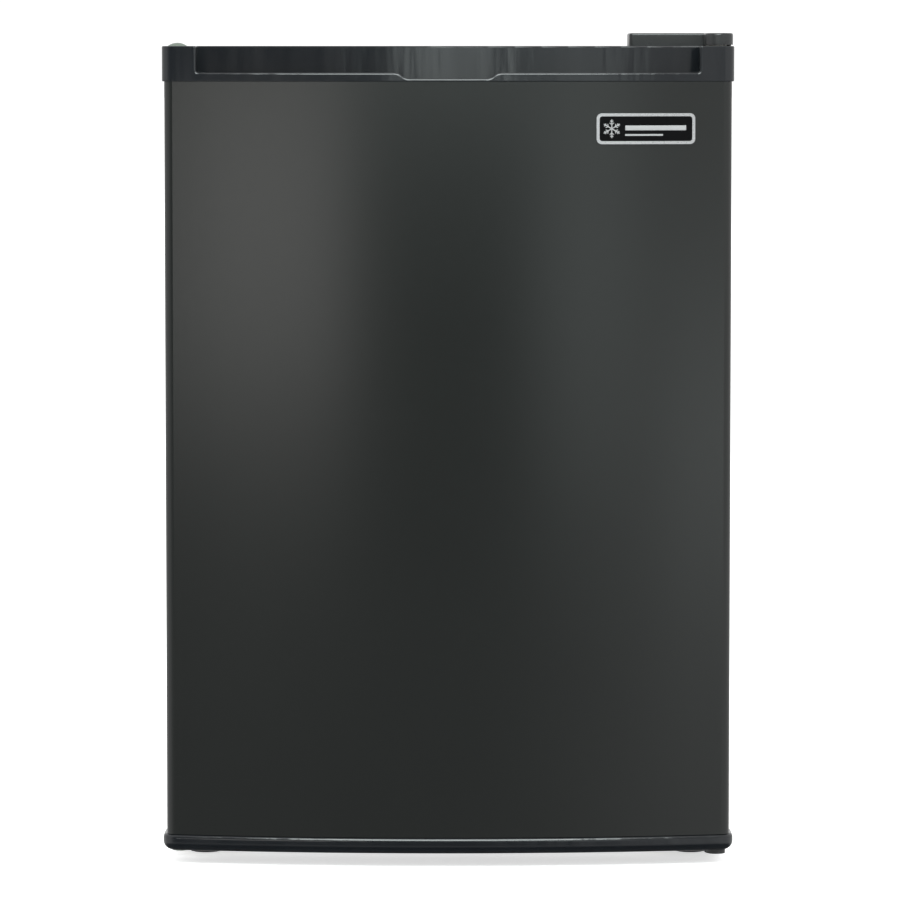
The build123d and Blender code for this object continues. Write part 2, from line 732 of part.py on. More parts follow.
def room_solid(grow, front):
    """The cold room as a solid, grown outwards, with rounded inner corners."""
    outline = polygon(
        (front, ROOM_FLOOR - grow),
        (STEP_FRONT + grow, ROOM_FLOOR - grow),
        (STEP_FRONT + grow, STEP_TOP - grow),
        (ROOM_BACK + grow, STEP_TOP - grow),
        (ROOM_BACK + grow, ROOM_CEILING + grow),
        (front, ROOM_CEILING + grow),
    )
    room = along_x(outline, -ROOM_HALF - grow, ROOM_HALF + grow)
    rounded = []
    for edge in room.edges():
        middle = edge.center()
        on_mouth = abs(middle.Y - front) < 1
        on_step = abs(middle.Y - STEP_FRONT - grow) < 0.1
        on_step = on_step and abs(middle.Z - STEP_TOP + grow) < 0.1
        if not on_mouth and not on_step:
            rounded.append(edge)
    return fillet(rounded, ROOM_ROUND + grow)


RIB_REACH = 8.0
RIB_THICK = 5.0
RIB_FRONT, RIB_REAR = -52.0, 172.0
SLOT_HEIGHT = 6.0


def make_inner_liner():
    """Vacuum-formed cold room with a front lip and ribbed shelf slots."""
    liner = room_solid(LINER, CABINET_FRONT) - room_solid(0, CABINET_FRONT - 1)
    lip = block(
        -FLANGE_EDGE + 0.5,
        FLANGE_EDGE - 0.5,
        CABINET_FRONT,
        CABINET_FRONT + LINER,
        FLANGE_LOW + 0.5,
        FLANGE_TOP - 0.5,
    )
    mouth = (-ROOM_HALF, ROOM_HALF, CABINET_FRONT - 1, CABINET_FRONT + 5)
    liner += lip - block(*mouth, ROOM_FLOOR, ROOM_CEILING)
    for level in SHELF_LEVELS:
        seat = level - GLASS / 2
        for low in (seat - RIB_THICK, seat + SLOT_HEIGHT):
            rib = block(
                ROOM_HALF - RIB_REACH,
                ROOM_HALF + 0.5,
                RIB_FRONT,
                RIB_REAR,
                low,
                low + RIB_THICK,
            )
            tip = rib.edges().filter_by(Axis.Y).sort_by(Axis.X)[:2]
            rib = fillet(tip, 2.0)
            liner += rib + mirrored(rib)
    return liner - disc_y(*EVAPORATOR_PORT, ROOM_BACK - 2, ROOM_BACK + 4, PORT_RADIUS)


def make_cabinet_foam():
    """Rigid foam that fills the walls around the liner and above the compressor bay."""
    side = TUBE_PLANE - TUBE_RADIUS - 0.1
    front, rear = CABINET_FRONT + LINER + 0.1, BACK_PLANE - SHEET
    low, high = CABINET_BOTTOM + SHEET, CABINET_TOP - SHEET
    foam = block(-side, side, front, rear, low, high)
    foam -= room_solid(LINER, CABINET_FRONT - 2)
    foam -= block(-side - 1, side + 1, BAY_FRONT, BACK, 0, BAY_TOP + SHEET)
    foam -= block(-side - 1, side + 1, LINK_Y - 15, LINK_Y + 4, low, LINK_Z + 4)
    for x, y in FOOT_PLACES.values():
        foam -= upright(x, y, low - 1, SOCKET_TOP, SOCKET_RADIUS)
    for x, y in FLOOR_SCREWS:
        foam -= upright(x, y, low - 1, low + 12, 2.4)
    for x, y in ROOF_SCREWS:
        for place in (-x, x):
            foam -= upright(place, y, high - 12, high + 1, 2.4)
    for x, z in BACK_SCREWS:
        foam -= disc_y(x, z, rear - 9, rear + 1, 2.4)
    x, z = EVAPORATOR_PORT
    chase = 9.0
    foam -= block(x - chase, x + chase, LINE_Y - 16, rear + 1, BAY_TOP, z + chase)
    foam -= block(x - chase, x + chase, ROOM_BACK, rear + 1, z - chase, z + chase)
    return foam


# ---------------------------------------------------------------- feet
def make_front_foot(x, y):
    """Levelling foot: a hexagon pad with a rounded sole on a threaded stud."""
    sole = upright(x, y, 0, 2.5, 13.0)
    sole = fillet(sole.edges().sort_by(Axis.Z)[0], 1.0)
    pad = prism(Pos(x, y) * RegularPolygon(14.0, 6), 2.5, 6.2)
    stud = upright(x, y, 6.2, 30.0, STUD_RADIUS)
    return pad + sole + chamfer(stud.edges().sort_by(Axis.Z)[-1], 1.0)


def make_foot_sockets():
    """Threaded sockets in the cabinet's floor for the levelling feet."""
    sockets = []
    for x, y in FOOT_PLACES.values():
        socket = upright(x, y, CABINET_BOTTOM, SOCKET_TOP, SOCKET_RADIUS)
        bore = STUD_RADIUS + PIN_CLEARANCE
        sockets.append(socket - upright(x, y, 0, SOCKET_TOP - 4, bore))
    return Compound(sockets)


def make_rear_feet():
    """Two fixed feet under the base plate."""
    feet = []
    for x in (-175, 175):
        foot = upright(x, 205, 0, CABINET_BOTTOM, 12.0)
        feet.append(fillet(foot.edges().sort_by(Axis.Z)[0], 1.2))
    return Compound(feet)


# ---------------------------------------------------------------- shelves
SHELF_HALF = ROOM_HALF - 3.0
TRIM_HALF = SHELF_HALF - 7.0
TRIM_COVER = 6.0  # how much of the glass a trim hides
SHELF_FRONT, SHELF_REAR = -58.0, 176.0


def make_shelf_glass():
    """Tempered glass plates, one in each occupied pair of ribs."""
    middle = Pos(0, (SHELF_FRONT + SHELF_REAR) / 2)
    depth = SHELF_REAR - SHELF_FRONT - 2 * TRIM_COVER
    plan = middle * RectangleRounded(2 * SHELF_HALF, depth, 6.0)
    plates = [prism(plan, z - GLASS / 2, z + GLASS / 2) for z in SHELVES]
    return Compound(plates)


def make_shelf_trims():
    """Moulded rails along the front and the back of each glass plate."""
    trims = []
    for level in SHELVES:
        slot = block(
            -SHELF_HALF,
            SHELF_HALF,
            SHELF_FRONT + TRIM_COVER,
            SHELF_REAR - TRIM_COVER,
            level - GLASS / 2,
            level + GLASS / 2,
        )
        for y0, y1, rise in (
            (SHELF_FRONT, SHELF_FRONT + 14, 5.0),
            (SHELF_REAR - 12, SHELF_REAR, 9.0),
        ):
            bar = block(-TRIM_HALF, TRIM_HALF, y0, y1, level - 5.0, level + rise)
            trims.append(fillet(bar.edges().filter_by(Axis.X), 1.5) - slot)
    return Compound(trims)


# ---------------------------------------------------------------- freezer compartment
def make_evaporator():
    """Folded aluminium plate box with raised refrigerant channels on its floor and roof."""
    outside = panel(ICE_LEFT, ICE_RIGHT, ICE_BOTTOM, ICE_TOP, 10.0)
    inside = panel(
        ICE_LEFT + ICE_SHEET,
        ICE_RIGHT - ICE_SHEET,
        ICE_BOTTOM + ICE_SHEET,
        ICE_TOP - ICE_SHEET,
        10.0 - ICE_SHEET,
    )
    box = along_y(outside, ICE_FRONT, ICE_BACK) - along_y(inside, ICE_FRONT, ICE_BACK)
    box += along_y(outside, ICE_BACK - ICE_SHEET, ICE_BACK)
    left, right = ICE_LEFT + 22, ICE_RIGHT - 22
    rows, rise, half = 7, 1.6, 4.0
    pitch = (ICE_BACK - ICE_FRONT - 50) / (rows - 1)
    floor, roof = ICE_BOTTOM + ICE_SHEET, ICE_TOP - ICE_SHEET
    for z0, z1 in ((floor - 0.2, floor + rise), (roof - rise, roof + 0.2)):
        for i in range(rows):
            y = ICE_FRONT + 22 + i * pitch
            box += block(left, right, y - half, y + half, z0, z1)
            if i < rows - 1:
                x = right if i % 2 == 0 else left
                box += block(x - half, x + half, y, y + pitch, z0, z1)
    return box


def make_evaporator_hangers():
    """Four spacers that hang the evaporator from the cold room's ceiling."""
    places = [(x, y) for x in (-150, 28) for y in (12, 150)]
    return Compound([upright(x, y, ICE_TOP, ROOM_CEILING, 6.0) for x, y in places])


def make_ice_frame():
    """Moulded surround on the evaporator's mouth, with ears for the flap's pins."""
    front, rear = ICE_FRONT - 10, ICE_FRONT + 2
    frame = along_y(panel(-175.5, 53.5, 472, 591, 8.0), front, rear)
    frame -= along_y(panel(-164, 42, 486, 574, 6.0), front - 1, rear + 1)
    seat = panel(ICE_LEFT, ICE_RIGHT, ICE_BOTTOM, ICE_TOP, 10.0)
    frame -= along_y(seat, ICE_FRONT, rear + 1)
    ear = block(-175.5, -172.5, FLAP_PIN_Y - 5, front + 1, 571, 586)
    nose = ear.edges().filter_by(Axis.X).group_by(Axis.Y)[0]
    ear = fillet(nose, 4.0)
    ears = ear + Pos(226, 0, 0) * ear
    hole = disc_x(FLAP_PIN_Y, FLAP_PIN_Z, -180, 60, FLAP_PIN_RADIUS + PIN_CLEARANCE)
    return frame + (ears - hole)


def make_ice_flap():
    """Front flap of the freezer, hung from two pins along its upper edge."""
    left, right = -171.9, 49.9
    y0, y1 = FLAP_PIN_Y - 3.5, FLAP_PIN_Y + 3.5
    flap = along_y(panel(left, right, 476, 581.5, 6.0), y0, y1)
    flap = fillet(flap.faces().sort_by(Axis.Y)[0].edges(), 2.0)
    flap -= along_y(panel(left + 12, right - 12, 496, 566, 6.0), y1 - 3.5, y1 + 1)
    pull = block(-96, -26, y0 - 7, y0 + 1, 482, 486)
    pull = fillet(pull.edges().filter_by(Axis.X).group_by(Axis.Y)[0], 1.5)
    pins = disc_x(FLAP_PIN_Y, FLAP_PIN_Z, left - 3.0, right + 3.0, FLAP_PIN_RADIUS)
    return flap + pull + pins


TRAY_LEFT, TRAY_RIGHT = -167.3, 45.3
TRAY_FRONT, TRAY_REAR = -20.0, 165.0
TRAY_LOW, TRAY_HIGH = 444.0, 462.3
RAIL_LEFT, RAIL_RIGHT = -175.0, 53.0


def make_tray_rails():
    """Two channel rails that hang from the evaporator and carry the drip tray."""
    low = TRAY_HIGH - 4.3
    rails = []
    for wall, side in ((RAIL_LEFT, 1), (RAIL_RIGHT, -1)):
        web = sorted((wall, wall + side * 1.8))
        flange = sorted((wall, wall + side * 16))
        foot = sorted((wall, wall + side * 6))
        rail = block(*web, -9, 168, low, ICE_BOTTOM)
        rail += block(*flange, -9, 168, ICE_BOTTOM - 1.8, ICE_BOTTOM)
        rail += block(*foot, -9, 168, low, low + 2)
        rails.append(rail)
    return Compound(rails)


def make_drip_tray():
    """Shallow tray under the freezer, hung by its side lips on the rails."""
    wall = 2.0
    width, depth = TRAY_RIGHT - TRAY_LEFT, TRAY_REAR - TRAY_FRONT
    middle = Pos((TRAY_LEFT + TRAY_RIGHT) / 2, (TRAY_FRONT + TRAY_REAR) / 2)
    tray = prism(middle * RectangleRounded(width, depth, 8.0), TRAY_LOW, TRAY_HIGH)
    tray = fillet(tray.faces().sort_by(Axis.Z)[0].edges(), 3.0)
    tray += block(
        RAIL_LEFT + 2.4,
        RAIL_RIGHT - 2.4,
        TRAY_FRONT + 12,
        TRAY_REAR - 5,
        TRAY_HIGH - 2,
        TRAY_HIGH,
    )
    inner = middle * RectangleRounded(width - 2 * wall, depth - 2 * wall, 6.0)
    tray -= prism(inner, TRAY_LOW + wall, TRAY_HIGH + 1)
    pull = block(-91, -31, TRAY_FRONT - 8, TRAY_FRONT + 1, TRAY_HIGH - 3, TRAY_HIGH)
    return tray + fillet(pull.edges().filter_by(Axis.X).group_by(Axis.Y)[0], 1.2)


# ---------------------------------------------------------------- thermostat
DIAL_X, DIAL_Z = 113.0, 570.0
DIAL_FACE = -62.0
FEELER_Y, FEELER_Z = 20.0, 562.0


def make_thermostat():
    """Control box on the cold room's ceiling: housing, switch and dial."""
    x, z, face = DIAL_X, DIAL_Z, DIAL_FACE
    half, wall, rear, low = 49.0, 2.0, 42.0, 546.0
    housing = block(x - half, x + half, face, rear, low, ROOM_CEILING)
    rounded = [e for e in housing.edges() if e.center().Z < ROOM_CEILING - 0.1]
    rounded = [e for e in rounded if e.center().Z < low + 1 or e.center().Y < face + 1]
    housing = fillet(rounded, 5.0)
    housing -= block(
        x - half + wall,
        x + half - wall,
        face + wall,
        rear - wall,
        low + wall,
        ROOM_CEILING + 1,
    )
    housing -= disc_y(x, z, face - 1, face + 5, 4.0)
    housing -= disc_x(FEELER_Y, FEELER_Z, x - half - 5, x - half + 5, 1.3)
    switch = block(x - 18, x + 18, face + 8, face + 34, z - 13, z + 13)
    switch += disc_y(x, z, face + wall, face + 8, 7.0)
    switch -= disc_y(x, z, face, face + 26, 3.0 + PIN_CLEARANCE)
    knob = disc_y(x, z, face - 14.5, face - 0.5, 17.0)
    knob = fillet(knob.edges().sort_by(Axis.Y)[0], 2.0)
    grip = block(x - 3.5, x + 3.5, face - 21, face - 13, z - 15, z + 15)
    grip = fillet([e for e in grip.edges() if e.center().Y < face - 15], 1.5)
    knob += grip + disc_y(x, z, face - 1, face + 24, 3.0)
    return {
        "thermostat_housing": housing,
        "thermostat_switch": switch,
        "thermostat_knob": knob,
    }


def make_sensing_tube():
    """Thin feeler tube from the switch to the evaporator's side, and its clip."""
    start = DIAL_X - 18
    y = DIAL_FACE + 20
    beside = ICE_RIGHT + 7
    feeler = tube(
        [
            (start, y, FEELER_Z),
            (start - 15, y, FEELER_Z),
            (start - 15, FEELER_Y, FEELER_Z),
            (beside, FEELER_Y, FEELER_Z),
            (beside, 118, FEELER_Z),
            (beside, 118, 505),
        ],
        [6.0, 6.0, 6.0, 6.0],
        1.0,
    )
    clip = block(ICE_RIGHT, beside + 3, 60, 74, FEELER_Z - 4, FEELER_Z + 4)
    return feeler, clip - disc_y(beside, FEELER_Z, 50, 90, 1.0)


# ---------------------------------------------------------------- cooling circuit
def serpentine(side):
    """Heat-rejecting tube looped up and down behind one side of the shell."""
    x = side * TUBE_PLANE
    low, high = 215.0, 600.0
    points = [(x, LOOP_Y[0], 30.0)]
    for i, y in enumerate(LOOP_Y):
        ends = (low, high) if i % 2 == 0 else (high, low)
        if i > 0:
            points.append((x, y, ends[0]))
        points.append((x, y, ends[1]))
    points[-1] = (x, LOOP_Y[-1], 60.0)
    bend = (LOOP_Y[1] - LOOP_Y[0]) / 2 - 1
    return tube(points, [bend] * (len(points) - 2), TUBE_RADIUS)


def discharge_line():
    """Hot line from the compressor to the right-hand serpentine."""
    x, last = TUBE_PLANE, LOOP_Y[-1]
    start = COMPRESSOR_X + 30
    line = tube(
        [
            (start, COMPRESSOR_Y + 42, 80),
            (start, 225, 80),
            (x, 225, 80),
            (x, 225, 40),
            (x, last, 40),
            (x, last, 60),
        ],
        [8, 9, 9, 9],
        TUBE_RADIUS,
    )
    return line - compressor_can()


def make_condenser():
    """Hot line, two serpentines, the link under the cold room and the run to the drier."""
    x, y = TUBE_PLANE, LOOP_Y[0]
    link = tube(
        [
            (-x, y, 30.0),
            (-x, y, LINK_Z),
            (-x, LINK_Y, LINK_Z),
            (x, LINK_Y, LINK_Z),
            (x, y, LINK_Z),
            (x, y, 30.0),
        ],
        [6.0, 12.0, 12.0, 6.0],
        TUBE_RADIUS,
    )
    last = LOOP_Y[-1]
    to_drier = tube(
        [(-x, last, 60.0), (-x, last, 45.0), (DRIER_X, last, 45.0), (DRIER_X, last, 70.0)],
        [7.0, 7.0],
        TUBE_RADIUS,
    )
    return Compound([serpentine(-1), serpentine(1), link, to_drier, discharge_line()])


def make_filter_drier():
    """Copper cartridge with tapered ends, upright in the compressor bay."""
    y = LOOP_Y[-1]
    body = upright(DRIER_X, y, 70, 150, 9.0)
    return chamfer(body.edges().filter_by(GeomType.CIRCLE), 6.0, 6.5)


def make_capillary():
    """Fine tube from the drier up to the evaporator."""
    port_x, port_z = EVAPORATOR_PORT
    x, y = port_x - 5.5, LOOP_Y[-1]
    return tube(
        [
            (DRIER_X, y, 150.0),
            (DRIER_X, y, 192.0),
            (x, y, 192.0),
            (x, LINE_Y, 192.0),
            (x, LINE_Y, port_z),
            (x, ICE_BACK, port_z),
        ],
        [15.0, 6.0, 6.0, 12.0],
        1.0,
    )


def make_suction_tube():
    """Return line from the evaporator to the compressor."""
    side = COMPRESSOR_X - COMPRESSOR_RADIUS
    y = COMPRESSOR_Y + 10
    port_x, port_z = EVAPORATOR_PORT
    line = tube(
        [
            (side + 6, y, 128),
            (side - 22, y, 128),
            (side - 22, LINE_Y, 128),
            (side - 22, LINE_Y, 180),
            (port_x, LINE_Y, 180),
            (port_x, LINE_Y, port_z),
            (port_x, ICE_BACK, port_z),
        ],
        [9, 9, 9, 9, 12],
        3.2,
    )
    return line - compressor_can()


def make_process_tube():
    """Sealed-off filling stub on the compressor."""
    side = COMPRESSOR_X - COMPRESSOR_RADIUS
    y = COMPRESSOR_Y - 14
    stub = tube([(side + 8, y, 84), (side - 24, y, 84), (side - 24, y, 122)], [10], 3.2)
    return stub - compressor_can()


def compressor_can(shrink=0.0):
    """Solid of the compressor's welded can, drawn in by shrink."""
    can = upright(
        COMPRESSOR_X, COMPRESSOR_Y, 34 + shrink, 172 - shrink, COMPRESSOR_RADIUS - shrink
    )
    can = fillet(can.edges().sort_by(Axis.Z)[0], 18.0 - shrink)
    return fillet(can.edges().sort_by(Axis.Z)[-1], 34.0 - shrink)


def make_compressor():
    """Hermetic compressor: two drawn half shells, pump, springs, feet and mounts."""
    x, y = COMPRESSOR_X, COMPRESSOR_Y
    wall, seam, motor_low = 3.0, 104.0, 52.0
    hollow = compressor_can() - compressor_can(wall)
    lower = hollow - block(x - 90, x + 90, y - 90, y + 90, seam, 180)
    upper = hollow - block(x - 90, x + 90, y - 90, y + 90, 30, seam)
    band = upright(x, y, seam - 6, seam, COMPRESSOR_RADIUS + 2.6)
    band = fillet(band.edges().sort_by(Axis.Z)[0], 1.0)
    lower += band - upright(x, y, seam - 7, seam + 1, COMPRESSOR_RADIUS - 0.5)
    motor = upright(x, y, motor_low, 140.0, COMPRESSOR_RADIUS - 14)
    motor = fillet(motor.edges().sort_by(Axis.Z)[-1], 20.0)
    springs = []
    for dx, dy in ((24, 0), (-24, 0), (0, 24), (0, -24)):
        springs.append(upright(x + dx, y + dy, 34 + wall, motor_low, 6.0))
    feet = block(x - 92, x + 92, y - 52, y + 52, 30, 34)
    feet = fillet(feet.edges().filter_by(Axis.Z), 14.0)
    grommets, bolts = [], []
    for dx in (-78, 78):
        for dy in (-38, 38):
            place = (x + dx, y + dy)
            feet -= upright(*place, 29, 35, 8.0)
            pad = upright(*place, BASE_TOP, 30.0, 12.0)
            pad += upright(*place, 30, 34, 8.0)
            pad += upright(*place, 34, 38, 11.0)
            grommets.append(pad - upright(*place, 10, 39, 3.0))
            washer = upright(*place, 38, 39.2, 9.0)
            head = prism(Pos(*place) * RegularPolygon(5.5, 6), 39.2, 43.5)
            bolts.append(upright(*place, BASE_TOP, 38, 3.0) + washer + head)
    return {
        "compressor_lower_shell": lower,
        "compressor_upper_shell": upper,
        "compressor_motor_pump": motor,
        "compressor_springs": Compound(springs),
        "compressor_feet": feet,
        "compressor_grommets": Compound(grommets),
        "compressor_bolts": Compound(bolts),
    }


def make_terminal_box():
    """Relay block on the compressor's side under a clip-on cover."""
    x = COMPRESSOR_X + COMPRESSOR_RADIUS
    y, wall = COMPRESSOR_Y, 1.8
    low, high, reach = 108.0, 150.0, 34.0
    cover = block(x - 12, x + reach, y - 26, y + 26, low, high)
    cover = fillet(cover.faces().sort_by(Axis.X)[-1].edges(), 4.0)
    cover -= block(
        x - 13, x + reach - wall, y - 26 + wall, y + 26 - wall, low + wall, high - wall
    )
    relay = block(x - 8, x + 24, y - 18, y + 18, low + 6, high - 6)
    can = compressor_can()
    return {"terminal_cover": cover - can, "start_relay": relay - can}


# ---------------------------------------------------------------- all the pieces
def build():
    """Every piece of the appliance, by node name."""
    pieces = {
        "door_skin": make_door_skin(),
        "door_top_cap": make_top_cap(),
        "door_bottom_cap": make_bottom_cap(),
        "door_liner": make_door_liner(),
        "door_foam": make_door_foam(),
        "door_gasket": make_gasket(),
        "hinge_bushes": make_bushes(),
        "socket_plugs": make_socket_plugs(),
        **make_badge(),
        "top_hinge_bracket": make_top_bracket(),
        "bottom_hinge_plate": make_bottom_plate(),
        **make_hinge_hardware(),
        "hinge_cover": make_hinge_cover(),
        "outer_shell": make_outer_shell(),
        "roof_plugs": make_roof_plugs(),
        "bottom_panel": make_bottom_panel(),
        "bay_panel": make_bay_panel(),
        "back_panel": make_back_panel(),
        "back_screws": make_back_screws(),
        "base_plate": make_base_plate(),
        "cord_gland": make_cord_gland(),
        "inner_liner": make_inner_liner(),
        "cabinet_foam": make_cabinet_foam(),
        "foot_sockets": make_foot_sockets(),
        "rear_feet": make_rear_feet(),
        "shelf_glass": make_shelf_glass(),
        "shelf_trims": make_shelf_trims(),
        "evaporator": make_evaporator(),
        "evaporator_hangers": make_evaporator_hangers(),
        "ice_frame": make_ice_frame(),
        "ice_flap": make_ice_flap(),
        "tray_rails": make_tray_rails(),
        "drip_tray": make_drip_tray(),
        **make_thermostat(),
        "condenser_tube": make_condenser(),
        "filter_drier": make_filter_drier(),
        "capillary_tube": make_capillary(),
        "suction_tube": make_suction_tube(),
        "process_tube": make_process_tube(),
        **make_compressor(),
        **make_terminal_box(),
    }
    for name, shape in BINS.items():
        pieces[name] = make_door_bin(*shape)
    for side, (x, y) in FOOT_PLACES.items():
        pieces[f"front_foot_{side}"] = make_front_foot(x, y)
    pieces["sensing_tube"], pieces["sensor_clip"] = make_sensing_tube()
    return pieces


os.makedirs("parts", exist_ok=True)
for node, shape in build().items():
    export_step(shape, f"parts/{node}.step")
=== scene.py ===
"""Looks for a compact refrigerator with a bowed charcoal door, built around its CAD frame."""

import math

import bmesh
import bpy
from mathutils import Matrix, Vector


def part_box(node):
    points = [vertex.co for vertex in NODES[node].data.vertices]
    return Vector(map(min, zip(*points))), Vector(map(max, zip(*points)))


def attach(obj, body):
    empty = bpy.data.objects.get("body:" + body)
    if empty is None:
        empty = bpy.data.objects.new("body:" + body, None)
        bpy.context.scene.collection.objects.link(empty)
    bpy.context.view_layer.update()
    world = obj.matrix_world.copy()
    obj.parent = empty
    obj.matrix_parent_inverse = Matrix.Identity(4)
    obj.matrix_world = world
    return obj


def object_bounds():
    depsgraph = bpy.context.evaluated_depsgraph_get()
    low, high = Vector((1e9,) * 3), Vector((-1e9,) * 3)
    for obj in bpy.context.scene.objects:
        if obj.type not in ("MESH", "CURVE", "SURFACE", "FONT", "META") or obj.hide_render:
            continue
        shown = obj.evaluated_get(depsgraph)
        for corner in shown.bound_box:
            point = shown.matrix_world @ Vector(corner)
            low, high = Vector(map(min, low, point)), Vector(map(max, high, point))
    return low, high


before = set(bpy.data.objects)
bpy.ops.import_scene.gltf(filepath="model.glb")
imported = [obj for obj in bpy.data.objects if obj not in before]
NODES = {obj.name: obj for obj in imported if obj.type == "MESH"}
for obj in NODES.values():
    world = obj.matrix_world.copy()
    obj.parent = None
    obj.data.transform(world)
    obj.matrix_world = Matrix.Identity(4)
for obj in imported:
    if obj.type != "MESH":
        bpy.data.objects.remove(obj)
CAD_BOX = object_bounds()

# ---------------------------------------------------------------- sizes, in metres
MM = 0.001
BOW = 20 * MM  # rise of the door's front over its width
DOOR_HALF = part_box("door_skin")[1].x
DOOR_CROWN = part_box("door_skin")[0].y
BOW_RADIUS = (DOOR_HALF**2 + BOW**2) / (2 * BOW)
BOW_CENTRE = DOOR_CROWN + BOW_RADIUS


def door_front(x, proud):
    """Y of the bowed door face at x, pushed out by proud."""
    return BOW_CENTRE - math.sqrt((BOW_RADIUS + proud) ** 2 - x * x)


# ---------------------------------------------------------------- materials
def new_material(name):
    """An empty node material with its Principled shader and a place to hang textures on."""
    mat = bpy.data.materials.new(name)
    mat.use_nodes = True
    tree = mat.node_tree
    return mat, tree, tree.nodes["Principled BSDF"]


def coords(tree, scale=(1, 1, 1)):
    """Object coordinates in metres, times a scale along each axis."""
    where = tree.nodes.new("ShaderNodeTexCoord")
    mapping = tree.nodes.new("ShaderNodeMapping")
    mapping.inputs["Scale"].default_value = scale
    tree.links.new(where.outputs["Object"], mapping.inputs["Vector"])
    return mapping.outputs["Vector"]


def noise(tree, vector, per_metre, detail=3.0, rough=0.5):
    """Noise value of about 0 to 1, with so many features to a metre."""
    node = tree.nodes.new("ShaderNodeTexNoise")
    node.inputs["Scale"].default_value = per_metre
    node.inputs["Detail"].default_value = detail
    node.inputs["Roughness"].default_value = rough
    tree.links.new(vector, node.inputs["Vector"])
    return node.outputs["Fac"]


def remap(tree, value, low, high, start=0.3, stop=0.7):
    """A value's range from start to stop, mapped to low to high."""
    node = tree.nodes.new("ShaderNodeMapRange")
    node.inputs["From Min"].default_value = start
    node.inputs["From Max"].default_value = stop
    node.inputs["To Min"].default_value = low
    node.inputs["To Max"].default_value = high
    tree.links.new(value, node.inputs["Value"])
    return node.outputs["Result"]


def mix(tree, factor, first, second):
    """Blend of two colours by a factor."""
    node = tree.nodes.new("ShaderNodeMix")
    node.data_type = "RGBA"
    node.inputs["A"].default_value = (*first, 1)
    node.inputs["B"].default_value = (*second, 1)
    tree.links.new(factor, node.inputs["Factor"])
    return node.outputs["Result"]


def combine(tree, operation, first, second):
    """Two values put together by a math operation."""
    node = tree.nodes.new("ShaderNodeMath")
    node.operation = operation
    tree.links.new(first, node.inputs[0])
    tree.links.new(second, node.inputs[1])
    return node.outputs["Value"]


def bump(tree, shader, height, strength, distance):
    """Fine relief on a shader from a height value."""
    node = tree.nodes.new("ShaderNodeBump")
    node.inputs["Strength"].default_value = strength
    node.inputs["Distance"].default_value = distance
    tree.links.new(height, node.inputs["Height"])
    tree.links.new(node.outputs["Normal"], shader.inputs["Normal"])


def shade(color, factor):
    """A colour made lighter or darker by a factor."""
    return tuple(min(1.0, c * factor) for c in color)


def plastic(name, color, rough, grain, depth, vary=0.12, coat=0.0, drift=0.2, ior=1.48):
    """Moulded plastic: cloudy tone, roughness drift and a fine grain of relief."""
    mat, tree, shader = new_material(name)
    vector = coords(tree)
    cloud = noise(tree, vector, per_metre=14.0)
    tone = mix(tree, cloud, shade(color, 1 - vary), shade(color, 1 + vary))
    tree.links.new(tone, shader.inputs["Base Color"])
    polish = noise(tree, vector, per_metre=55.0, detail=4.0)
    tree.links.new(
        remap(tree, polish, rough * (1 - drift), rough * (1 + drift)),
        shader.inputs["Roughness"],
    )
    bump(tree, shader, noise(tree, vector, grain, detail=2.0), strength=0.35, distance=depth)
    shader.inputs["IOR"].default_value = ior
    shader.inputs["Coat Weight"].default_value = coat
    shader.inputs["Coat Roughness"].default_value = 0.08
    return mat


def metal(name, color, rough, grain, depth, vary=0.1):
    """Bare or plated metal with a drifting tone and roughness."""
    mat, tree, shader = new_material(name)
    vector = coords(tree)
    cloud = noise(tree, vector, per_metre=25.0, detail=5.0, rough=0.6)
    tone = mix(tree, cloud, shade(color, 1 - vary), shade(color, 1 + vary))
    tree.links.new(tone, shader.inputs["Base Color"])
    scratches = noise(tree, vector, grain, detail=4.0, rough=0.65)
    tree.links.new(
        remap(tree, scratches, rough * 0.75, rough * 1.35), shader.inputs["Roughness"]
    )
    bump(tree, shader, scratches, strength=0.25, distance=depth)
    shader.inputs["Metallic"].default_value = 1.0
    return mat


def spangled_zinc():
    """Galvanised sheet: crystal spangle in tone and roughness."""
    mat, tree, shader = new_material("galvanised_sheet")
    vector = coords(tree)
    cells = tree.nodes.new("ShaderNodeTexVoronoi")
    cells.inputs["Scale"].default_value = 130.0
    tree.links.new(vector, cells.inputs["Vector"])
    grey = tree.nodes.new("ShaderNodeSeparateColor")
    tree.links.new(cells.outputs["Color"], grey.inputs["Color"])
    tone = mix(tree, grey.outputs["Red"], (0.50, 0.51, 0.52), (0.56, 0.57, 0.58))
    tree.links.new(tone, shader.inputs["Base Color"])
    tree.links.new(
        remap(tree, grey.outputs["Green"], 0.42, 0.5, start=0.0, stop=1.0),
        shader.inputs["Roughness"],
    )
    dimples = noise(tree, vector, per_metre=300.0)
    bump(tree, shader, dimples, strength=0.15, distance=0.2 * MM)
    shader.inputs["Metallic"].default_value = 0.85
    return mat


def door_paint():
    """Satin charcoal paint on pre-coated sheet: very fine vertical grain and faint mottle."""
    mat, tree, shader = new_material("door_paint")
    vector = coords(tree)
    streaked = coords(tree, (1, 1, 0.12))
    mottle = noise(tree, vector, per_metre=9.0, detail=2.0)
    tone = mix(tree, mottle, (0.0028, 0.0037, 0.0033), (0.0037, 0.0047, 0.0042))
    tree.links.new(tone, shader.inputs["Base Color"])
    grain = noise(tree, streaked, per_metre=1500.0, rough=0.6)
    tree.links.new(remap(tree, grain, 0.20, 0.24), shader.inputs["Roughness"])
    bump(tree, shader, grain, strength=0.08, distance=0.1 * MM)
    shader.inputs["IOR"].default_value = 1.5
    return mat


WAVE = 0.6 * MM  # depth of the caps' mould waves
DRAFT = -0.05  # slope of their upright faces, which lean back


